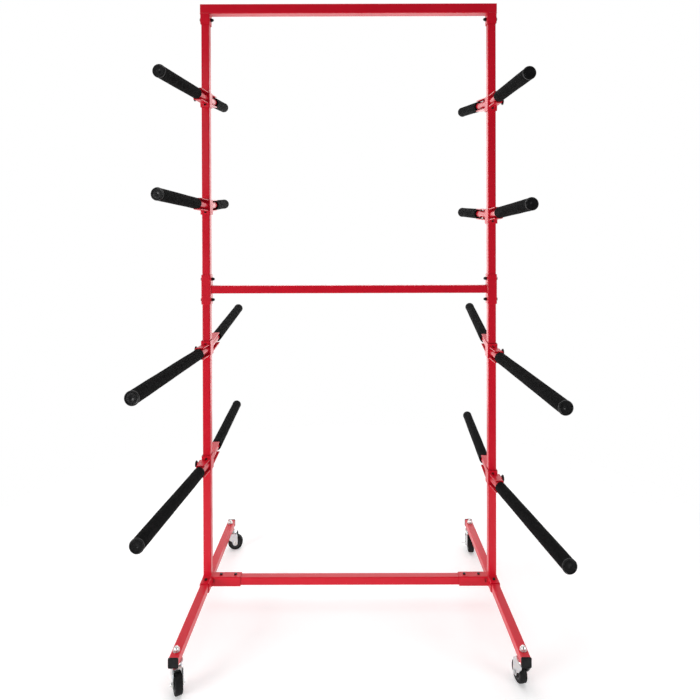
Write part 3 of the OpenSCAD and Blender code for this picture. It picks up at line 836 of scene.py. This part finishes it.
def make_wheel(corner):
    """A rubber tread on a moulded hub with ribs, which turns on a steel bush."""
    place, _, _ = wheel_place(corner)
    tread, shoulder = [], 3.2 * MM
    for sign in (-1, 1):
        for i in range(6):
            turn = math.pi / 2 * (i / 5 if sign < 0 else 1 - i / 5)
            tread.append((WHEEL_R - 0.3 * MM - shoulder * (1 - math.sin(turn)),
                          sign * (WHEEL_HALF - shoulder * (1 - math.cos(turn)))))
        if sign < 0:
            tread += [(WHEEL_R - 0.1 * MM, -2.5 * MM), (WHEEL_R, -0.5 * MM), (WHEEL_R, 0.5 * MM),
                      (WHEEL_R - 0.1 * MM, 2.5 * MM)]
    tread += [(HUB_R + 3 * MM, WHEEL_HALF - 0.5 * MM), (HUB_R, WHEEL_HALF - 0.7 * MM),
              (HUB_R - 1 * MM, WHEEL_HALF - 4 * MM), (HUB_R - 1 * MM, 4 * MM - WHEEL_HALF),
              (HUB_R, 0.7 * MM - WHEEL_HALF), (HUB_R + 3 * MM, 0.5 * MM - WHEEL_HALF)]
    tyre = Shell().lathe(tread, place, 72, loop=True)
    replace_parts(tyre.make(f"tread_{corner}", RUBBER, f"wheel_{corner}_body", "wheel"), f"wheel_{corner}")

    hub = Shell()
    web, boss, bore = 5.2 * MM, 7 * MM, AXLE_R + 1.1 * MM
    hub.lathe([(bore, -11 * MM), (boss - 0.4 * MM, -11 * MM), (boss, -10.6 * MM), (boss + 0.6 * MM, -web),
               (HUB_R - 3 * MM, -web), (HUB_R - 2.2 * MM, 0.9 * MM - WHEEL_HALF),
               (HUB_R + 0.4 * MM, 0.5 * MM - WHEEL_HALF),
               (HUB_R + 0.4 * MM, WHEEL_HALF - 0.5 * MM), (HUB_R - 2.2 * MM, WHEEL_HALF - 0.9 * MM),
               (HUB_R - 3 * MM, web), (boss + 0.6 * MM, web), (boss, 10.6 * MM), (boss - 0.4 * MM, 11 * MM),
               (bore, 11 * MM)], place, 60, loop=True)
    for i in range(6):
        spoke = place @ Matrix.Rotation(2 * math.pi * i / 6, 4, "Z")
        rib = [(boss - 0.5 * MM, -0.9 * MM), (HUB_R - 2.4 * MM, -0.7 * MM),
               (HUB_R - 2.4 * MM, 0.7 * MM), (boss - 0.5 * MM, 0.9 * MM)]
        hub.prism(rib, -8.6 * MM, 8.6 * MM, spoke)
    hub.make(f"hub_{corner}", HUB, f"wheel_{corner}_body", "wheel")

    bush = Shell()
    inner, outer, half = AXLE_R + 0.1 * MM, bore + 0.05 * MM, 11.3 * MM
    bush.lathe([(inner, -half), (outer, -half), (outer, half), (inner, half)], place, 32, loop=True)
    bush.make(f"bush_{corner}", ZINC, f"wheel_{corner}_body", "wheel")


def fork_outline(trail):
    """The cheek's side view as (x, z) points, round at the axle and at the shoulders."""
    points, eye = [], 9 * MM
    for i in range(13):
        turn = math.radians(-172 + 164 * i / 12)
        points.append((trail + eye * math.cos(turn), WHEEL_R + eye * math.sin(turn)))
    points += [(trail + 9.4 * MM, WHEEL_R + 6 * MM), (trail + 8.5 * MM, CROWN_TOP - 10 * MM),
               (trail + 6 * MM, CROWN_TOP - 4 * MM), (trail + 2 * MM, CROWN_TOP),
               (-13 * MM, CROWN_TOP), (-15 * MM, CROWN_TOP - 2.5 * MM), (-14.6 * MM, CROWN_TOP - 9 * MM),
               (-11 * MM, CROWN_TOP - 14 * MM), (-1 * MM, WHEEL_R + 12 * MM),
               (trail - 10.5 * MM, WHEEL_R + 5 * MM)]
    return points


def channel_section():
    """The fork's section as (y, z) points: a channel with bent shoulders, open below."""
    outer, inner = [], []
    bend, half = 4.5 * MM, FORK_IN + FORK_T
    for sign in (-1, 1):
        for i in range(6):
            turn = math.pi / 2 * (i / 5 if sign < 0 else 1 - i / 5)
            for arc, radius in ((outer, bend), (inner, bend - FORK_T)):
                arc.append((sign * (half - bend + radius * math.cos(turn)),
                            CROWN_TOP - bend + radius * math.sin(turn)))
    foot = 12 * MM
    outside = [(-half, foot)] + outer + [(half, foot)]
    return outside + [(half - FORK_T, foot)] + inner[::-1] + [(FORK_T - half, foot)]


def apply_modifiers(made):
    """Turns what an object's modifiers make into its own mesh."""
    evaluated = made.evaluated_get(bpy.context.evaluated_depsgraph_get())
    mesh = bpy.data.meshes.new_from_object(evaluated)
    made.modifiers.clear()
    made.data = mesh


def cut(solid, shell, operation):
    """Changes a solid by a boolean with a shell."""
    tool = put("tool", shell.mesh("tool"))
    bpy.context.view_layer.update()
    modifier = solid.modifiers.new("cut", "BOOLEAN")
    modifier.operation, modifier.solver, modifier.object = operation, "EXACT", tool
    apply_modifiers(solid)
    bpy.data.objects.remove(tool)


def round_edges(made, width):
    """Bevels the edges sharper than 30 degrees and shades the rest softly."""
    modifier = made.modifiers.new("edges", "BEVEL")
    modifier.width, modifier.segments, modifier.limit_method = width, 2, "ANGLE"
    modifier.angle_limit = math.radians(30)
    apply_modifiers(made)
    shade(made.data, 40)


FORK_EDGE, BORE_GAP = 0.35 * MM, 0.1 * MM


def bore_out(sheet, radius, low, high, place=Matrix(), count=32):
    """Cuts a round hole along Z of place."""
    cut(sheet, Shell().lathe([(radius, low), (radius, high)], place, count), "DIFFERENCE")


def make_fork(corner):
    """A fork pressed from one sheet, with holes for the axle and the stem.

    The rear right fork has no hole for the brake's cross pin, which the CAD has: the pin cuts its cheeks.
    """
    _, caster, trail = wheel_place(corner)
    body = f"caster_{corner}"
    swap = Matrix(((0, 0, 1, 0), (1, 0, 0, 0), (0, 1, 0, 0), (0, 0, 0, 1)))
    channel = Shell().prism(channel_section(), -20 * MM, trail + 20 * MM, swap)
    name = f"fork_steel_{corner}"
    sheet = put(name, channel.mesh(name))
    side_view = Matrix(((1, 0, 0, 0), (0, 0, -1, 0), (0, 1, 0, 0), (0, 0, 0, 1)))
    outline = Shell().prism(fork_outline(trail), -30 * MM, 30 * MM, side_view)
    cut(sheet, outline, "INTERSECT")
    axle = Matrix.Translation((trail, 0, WHEEL_R)) @ Matrix.Rotation(math.pi / 2, 4, "X")
    bore_out(sheet, AXLE_R + BORE_GAP, -30 * MM, 30 * MM, axle, 24)
    bore_out(sheet, STEM_R + BORE_GAP, 50 * MM, 80 * MM)
    round_edges(sheet, FORK_EDGE)
    sheet.data.transform(caster)
    sheet.data.materials.append(ZINC)
    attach(sheet, body)
    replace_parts(sheet, f"fork_{corner}")


def make_stems():
    """Stem, upper race cup with a rolled lip and riveted end of every caster."""
    shell = Shell()
    for points in solids_of("caster_stems"):
        middle = (points.max(0) + points.min(0)) / 2
        place = Matrix.Translation((middle[0], middle[1], 0))
        top, low = points[:, 2].max(), points[:, 2].min()
        shell.lathe([(STEM_R, low + 1.5 * MM), (STEM_R, top - 1 * MM), (STEM_R - 1 * MM, top)], place, 32)
        cup = [(STEM_R, LEG_UNDER - 0.05 * MM), (16.2 * MM, LEG_UNDER - 0.05 * MM)]
        for i in range(7):
            turn = math.radians(60 - 150 * i / 6)
            cup.append((16 * MM + 1.0 * MM * math.cos(turn),
                        LEG_UNDER - 2.2 * MM + 1.6 * MM * math.sin(turn)))
        cup += [(15.0 * MM, LEG_UNDER - 4.6 * MM), (STEM_R, LEG_UNDER - 4.9 * MM)]
        shell.lathe(cup, place, 56, loop=True)
        rivet = [(STEM_R, low + 2.2 * MM), (8.3 * MM, low + 2.1 * MM), (8.5 * MM, low + 1.4 * MM),
                 (7.2 * MM, low + 0.3 * MM), (4 * MM, low), (1 * MM, low + 0.1 * MM)]
        shell.lathe(rivet, place, 40)
    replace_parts(shell.make("stems_and_races", ZINC, "frame", "caster_steel"), "caster_stems")


AXLE_AF, AXLE_HEAD_H, AXLE_NUT_H = 10 * MM, 3.4 * MM, 3.2 * MM


def make_axle(corner):
    """Axle bolt with a hex head on one side and a locking nut on the other."""
    place, _, _ = wheel_place(corner)
    shell = Shell()
    half = FORK_IN + FORK_T
    shank = [(AXLE_R - 0.6 * MM, -half - 5.2 * MM), (AXLE_R, -half - 4.6 * MM), (AXLE_R, half + 3 * MM)]
    shell.lathe(shank, place, 24)
    head = place @ Matrix.Translation((0, 0, half + 0.05 * MM))
    add_hex(shell, head, AXLE_AF, AXLE_HEAD_H)
    nut = place @ Matrix.Translation((0, 0, -half - 0.05 * MM)) @ Matrix.Rotation(math.pi, 4, "X")
    add_hex(shell, nut, AXLE_AF, AXLE_NUT_H)
    collar = [(4.3 * MM, 3.0 * MM), (4.3 * MM, 3.6 * MM), (3.9 * MM, 4.1 * MM), (3.2 * MM, 4.1 * MM)]
    shell.lathe(collar, nut, 32)
    made = shell.make(f"axle_bolt_{corner}", ZINC, f"caster_{corner}", "axle_steel")
    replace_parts(made, f"axle_{corner}")


def rounded_tab(width, length, corner):
    """A strip along +y from y = 0, with round far corners."""
    points = [(width / 2, 0.0)]
    for sign in (1, -1):
        for i in range(5):
            turn = math.pi / 2 * (i / 4 if sign > 0 else 1 - i / 4)
            points.append((sign * (width / 2 - corner + corner * math.cos(turn)),
                           length - corner + corner * math.sin(turn)))
    points.append((-width / 2, 0.0))
    return points


LEVER_EYE_R, LEVER_T, LEVER_DROP = 5.5 * MM, 2 * MM, -26 * MM
PIN_R, CAM_R, CAM_OFFSET, CAM_TURN = 2 * MM, 4 * MM, 1.8 * MM, math.radians(-25)


def lever_outline():
    """The lever's side view as points: a round eye at the pivot and a wider foot below."""
    outline, drop = [], LEVER_DROP
    for i in range(9):
        turn = math.radians(-20 + 220 * i / 8)
        outline.append((LEVER_EYE_R * math.cos(turn), LEVER_EYE_R * math.sin(turn)))
    return outline + [
        (-4 * MM, -8 * MM), (-4.4 * MM, drop + 2 * MM), (-6 * MM, drop), (-5.4 * MM, drop - 1.6 * MM),
        (5.4 * MM, drop - 1.6 * MM), (6 * MM, drop), (4.4 * MM, drop + 2 * MM), (4 * MM, -8 * MM)]


def make_lever(flat, plate_low, plate_high):
    """The pressed plate beside the fork, with its foot tab bent outwards."""
    lever = Shell()
    lever.prism(lever_outline(), plate_low, plate_low + LEVER_T, flat, inset=0.3 * MM)
    tab = rounded_tab(12 * MM, plate_high - plate_low, 2.2 * MM)
    turn_down = (flat @ Matrix.Translation((0, LEVER_DROP - 0.8 * MM, plate_low))
                 @ Matrix.Rotation(math.pi / 2, 4, "X"))
    lever.prism(tab, -1.2 * MM, 1.2 * MM, turn_down, inset=0.4 * MM)
    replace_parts(lever.make("brake_foot_lever", ZINC, "brake", "brake_steel"), "brake_lever")


def make_cam_pin(flat):
    """The cross pin with its riveted head, and the cam that bears on the tread."""
    pin = Shell()
    half = FORK_IN + FORK_T
    pin.lathe([(1.6 * MM, -half - 1 * MM), (PIN_R, -half - 0.6 * MM), (PIN_R, half + 2.4 * MM)], flat, 24)
    pin.lathe([(3.3 * MM, half + 2.35 * MM), (3.5 * MM, half + 2.6 * MM), (3.3 * MM, half + 3.4 * MM),
               (2.2 * MM, half + 3.85 * MM)], flat, 28)
    shift = (CAM_OFFSET * math.cos(CAM_TURN), CAM_OFFSET * math.sin(CAM_TURN), 0)
    pin.lathe([(3.7 * MM, -WHEEL_HALF), (CAM_R, 0.3 * MM - WHEEL_HALF), (CAM_R, WHEEL_HALF - 0.3 * MM),
               (3.7 * MM, WHEEL_HALF)], flat @ Matrix.Translation(shift), 32)
    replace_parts(pin.make("brake_cam_pin", ZINC, "brake", "brake_steel"), "brake_pin")


def make_brake():
    """The rear right caster's brake, built round its joint: Z runs from the pivot towards the lever."""
    _, caster, _ = wheel_place("rear_right")
    pivot = Vector(JOINTS["brake_press"]["pos_m"])
    axis = caster.to_3x3() @ Vector((0, -1, 0))
    forward = caster.to_3x3() @ Vector((1, 0, 0))
    place = turned(pivot, forward, (0, 0, 1))
    reach = (Vector(end_on(points_of("brake_lever"), axis)) - pivot).dot(axis)
    flip = 1 if (place.to_3x3() @ Vector((0, 0, 1))).dot(axis) > 0 else -1
    flat = place @ Matrix.Scale(flip, 4, (0, 0, 1))
    make_lever(flat, FORK_IN + FORK_T + 0.3 * MM, reach)
    make_cam_pin(flat)


# ---- studio ----

def area_light(name, place, target, size, power):
    """A white rectangle of light that the camera does not see."""
    light = bpy.data.lights.new(name, "AREA")
    light.shape, light.size, light.size_y = "RECTANGLE", size[0], size[1]
    light.energy = power
    made = put(name, light)
    made.location = place
    made.rotation_euler = (Vector(target) - Vector(place)).to_track_quat("-Z", "Y").to_euler()
    made.visible_camera = False


SKY_FRONT, SKY_BACK = 0.05, 0.9


def make_sky():
    """White to the eye; as a light it is dim towards the front and bright behind the rack."""
    world = bpy.data.worlds.new("studio_white")
    bpy.context.scene.world = world
    world.use_nodes = True
    tree = world.node_tree
    sky = tree.nodes["Background"]
    sky.inputs["Color"].default_value = (1, 1, 1, 1)
    axes = tree.nodes.new("ShaderNodeSeparateXYZ")
    tree.links.new(tree.nodes.new("ShaderNodeTexCoord").outputs["Generated"], axes.inputs[0])
    span = tree.nodes.new("ShaderNodeMapRange")
    span.inputs["From Min"].default_value = -0.7
    span.inputs["From Max"].default_value = 0.5
    span.inputs["To Min"].default_value = SKY_FRONT
    span.inputs["To Max"].default_value = SKY_BACK
    tree.links.new(axes.outputs["Y"], span.inputs["Value"])
    seen = tree.nodes.new("ShaderNodeMix")
    seen.inputs[3].default_value = 1.0
    tree.links.new(tree.nodes.new("ShaderNodeLightPath").outputs["Is Camera Ray"], seen.inputs[0])
    tree.links.new(span.outputs["Result"], seen.inputs[2])
    tree.links.new(seen.outputs[0], sky.inputs["Strength"])


FLOOR_HALF, FLOOR_GLOW, FLOOR_FADE = 2.4, 0.24, (0.95, 1.7)


def make_floor():
    """A white floor under the rack that fades into the white round it."""
    look = Look("pale_floor", (0.9, 0.9, 0.9), 0.6, Specular_IOR_Level=0.1)
    look.shader.inputs["Emission Color"].default_value = (1, 1, 1, 1)
    look.shader.inputs["Emission Strength"].default_value = FLOOR_GLOW
    tint = look.spread(look.noise(3.0, 3.0, 0.5), 0.3, 0.7, 0.0, 1.0)
    look.color(look.mix(tint, (0.90, 0.90, 0.90), (0.93, 0.93, 0.93)))
    distance = look.node("ShaderNodeVectorMath", {0: look.place}, operation="LENGTH").outputs["Value"]
    look.tree.links.new(look.spread(distance, *FLOOR_FADE, 1.0, 0.0), look.shader.inputs["Alpha"])
    mesh = bpy.data.meshes.new("floor")
    half = FLOOR_HALF
    corners = [(-half, -half, 0), (half, -half, 0), (half, half, 0), (-half, half, 0)]
    mesh.from_pydata(corners, [], [(0, 1, 2, 3)])
    mesh.materials.append(look.material)
    put("floor", mesh)


def make_studio():
    """Soft panels round the rack; each row is name, place, target, size and power."""
    make_sky()
    area_light("key_low_left", (-2.6, -2.0, 0.75), (-0.3, 0, 0.6), (1.6, 1.2), 70)
    area_light("fill_low_right", (2.6, -1.8, 0.6), (0.2, 0, 0.6), (1.4, 1.0), 33)
    area_light("top", (0, 0, 3.6), (0, 0, 1.0), (2.6, 2.2), 30)
    area_light("back_panel", (0, 3.2, 1.2), (0, 0, 1.2), (2.4, 3.2), 36)
    area_light("post_softbox", (-1.04, -2.2, 2.0), (-0.455, 0, 1.4), (0.5, 0.9), 2)
    make_floor()


CAMERA_PLACE, LENS, SHIFT_DOWN = (0.0050, -1.721, 1.177), 27.65, 0.1549
CAMERA_YAW, CAMERA_DIP, CAMERA_ROLL = 0.001, 0.0053, -0.0026


def make_camera():
    """The photographer's place: almost level, near the middle line, with the lens shifted down."""
    data = bpy.data.cameras.new("camera")
    data.sensor_width, data.lens, data.shift_y = 36.0, LENS, -SHIFT_DOWN
    camera = put("camera", data)
    roll = Matrix.Rotation(CAMERA_ROLL, 4, "Z")
    aim = Matrix.Rotation(CAMERA_YAW, 4, "Z") @ Matrix.Rotation(math.pi / 2 - CAMERA_DIP, 4, "X")
    camera.matrix_world = Matrix.Translation(CAMERA_PLACE) @ aim @ roll
    bpy.context.scene.camera = camera


# ---- the object ----

def make_rack():
    """Colours the nodes that show as they are, then makes the pieces that stand for the others."""
    dress([n for n in NODES if n.startswith(("upper_post", "base_post", "leg_left", "leg_right"))], RED)
    dress(["top_bar", "mid_bar", "bottom_bar"], RED)
    dress([n for n in NODES if n.startswith("bracket_")], RED_BRACKET)
    make_frame_bolts()
    make_frame_nuts()
    make_frame_welds()
    make_end_caps()
    make_stem_nuts()
    make_stems()
    for side in SIDES:
        for level in LEVELS:
            make_foam(side, level)
            make_plugs(side, level)
            make_clamp_bolts(side, level)
            make_bracket_welds(side, level)
    for corner in CORNERS:
        make_wheel(corner)
        make_fork(corner)
        make_axle(corner)
    make_brake()


bpy.context.scene.view_settings.view_transform = "Standard"
make_camera()
make_studio()
make_rack()
